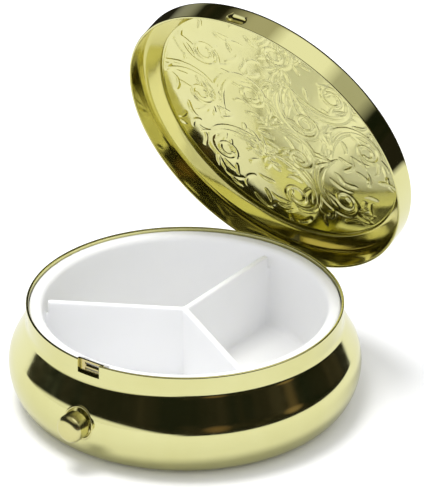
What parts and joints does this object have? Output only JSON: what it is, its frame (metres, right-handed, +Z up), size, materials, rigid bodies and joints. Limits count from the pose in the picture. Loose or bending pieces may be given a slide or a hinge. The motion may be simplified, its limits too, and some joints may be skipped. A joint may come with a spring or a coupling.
{
  "type": "hinged round pill box",
  "caption": "Round gold-tone metal pill box with a framed embossed lid on a sprung hinge, a push-button latch and a white tray with three compartments.",
  "frame": {"origin": "middle of the flat bottom of the base, on the surface that it stands on", "axes": "+Z up; +Y from the push button at the front to the hinge at the back; +X to the right seen from the front; rest pose has the lid open against its stop"},
  "size_m": [0.05, 0.0576, 0.0551],
  "materials": {
    "gold_plate": "polished pale gold-tone plating on thin drawn sheet",
    "embossed_gold": null,
    "tray_white": "white moulded plastic, soft sheen",
    "latch_brass": "stamped brass, plated, not polished",
    "pin_steel": "drawn wire, plain",
    "spring_wire": "hard-drawn spring wire, plain"
  },
  "bodies": {
    "base": {"base_bowl": "gold_plate", "pill_tray": "tray_white", "hinge_body_leaf": "gold_plate", "hinge_pin": "pin_steel", "latch_bracket": "latch_brass", "latch_pin": "pin_steel", "button_collar": "gold_plate"},
    "lid": {"lid_bezel": "gold_plate", "lid_panel": "embossed_gold", "lid_inner_ring": "gold_plate", "hinge_lid_leaf": "gold_plate", "hinge_spring": "spring_wire"},
    "latch": {"latch_plate": "latch_brass", "latch_spring": "spring_wire"},
    "button": {"push_button": "gold_plate", "button_retainer": "latch_brass"}
  },
  "joints": [
    {"name": "lid_hinge", "type": "hinge", "parent": "base", "child": "lid", "pos_m": [0, 0.023, 0.00955], "axis": [1, 0, 0], "range_deg": [0, 71], "stiffness_Nm_per_rad": 0.0015, "springref_deg": -34.38},
    {"name": "button_press", "type": "slide", "parent": "base", "child": "button", "axis": [0, 1, 0], "range_m": [0, 0.00033], "stiffness_N_per_m": 2000, "springref_m": -0.0007},
    {"name": "latch_tilt", "type": "hinge", "parent": "base", "child": "latch", "pos_m": [0, -0.0213, 0.0015], "axis": [-1, 0, 0], "range_deg": [0, 3.6]}
  ],
  "couplings": [
    {"joint": "latch_tilt", "follows": "button_press", "rad_per_m": 190.48}
  ]
}
